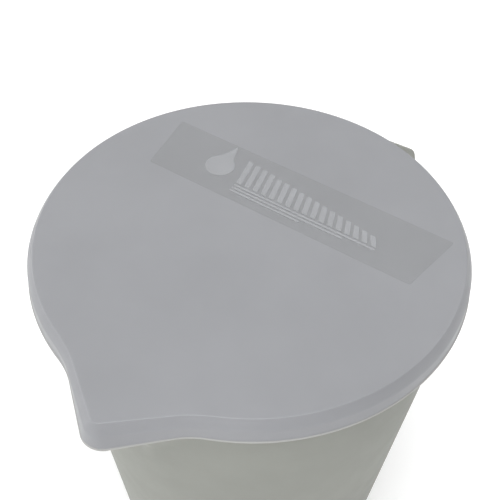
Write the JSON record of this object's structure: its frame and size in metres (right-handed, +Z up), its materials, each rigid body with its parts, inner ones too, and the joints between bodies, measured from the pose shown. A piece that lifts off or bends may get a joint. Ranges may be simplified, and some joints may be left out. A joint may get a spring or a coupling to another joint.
{
  "type": "oil measuring jug",
  "caption": "Tapered translucent measuring jug with a V-shaped pouring spout, a strap handle and a push-on lid that covers the spout.",
  "frame": {"origin": "centre of the round base, on the surface that the jug stands on", "axes": "+Z up, +X from the spout towards the handle"},
  "size_m": [0.299, 0.2082, 0.2462],
  "materials": {
    "jug_polypropylene": "natural polypropylene, translucent, satin",
    "lid_polypropylene": "natural polypropylene, translucent, satin",
    "clear_film": "clear self-adhesive film"
  },
  "bodies": {
    "jug": {"jug_body": "jug_polypropylene"},
    "lid": {"lid": "lid_polypropylene", "lid_label": "clear_film"}
  },
  "joints": [
    {"name": "lid_lift", "type": "slide", "parent": "jug", "child": "lid", "axis": [0, 0, 1], "range_m": [0, 0.06]}
  ]
}
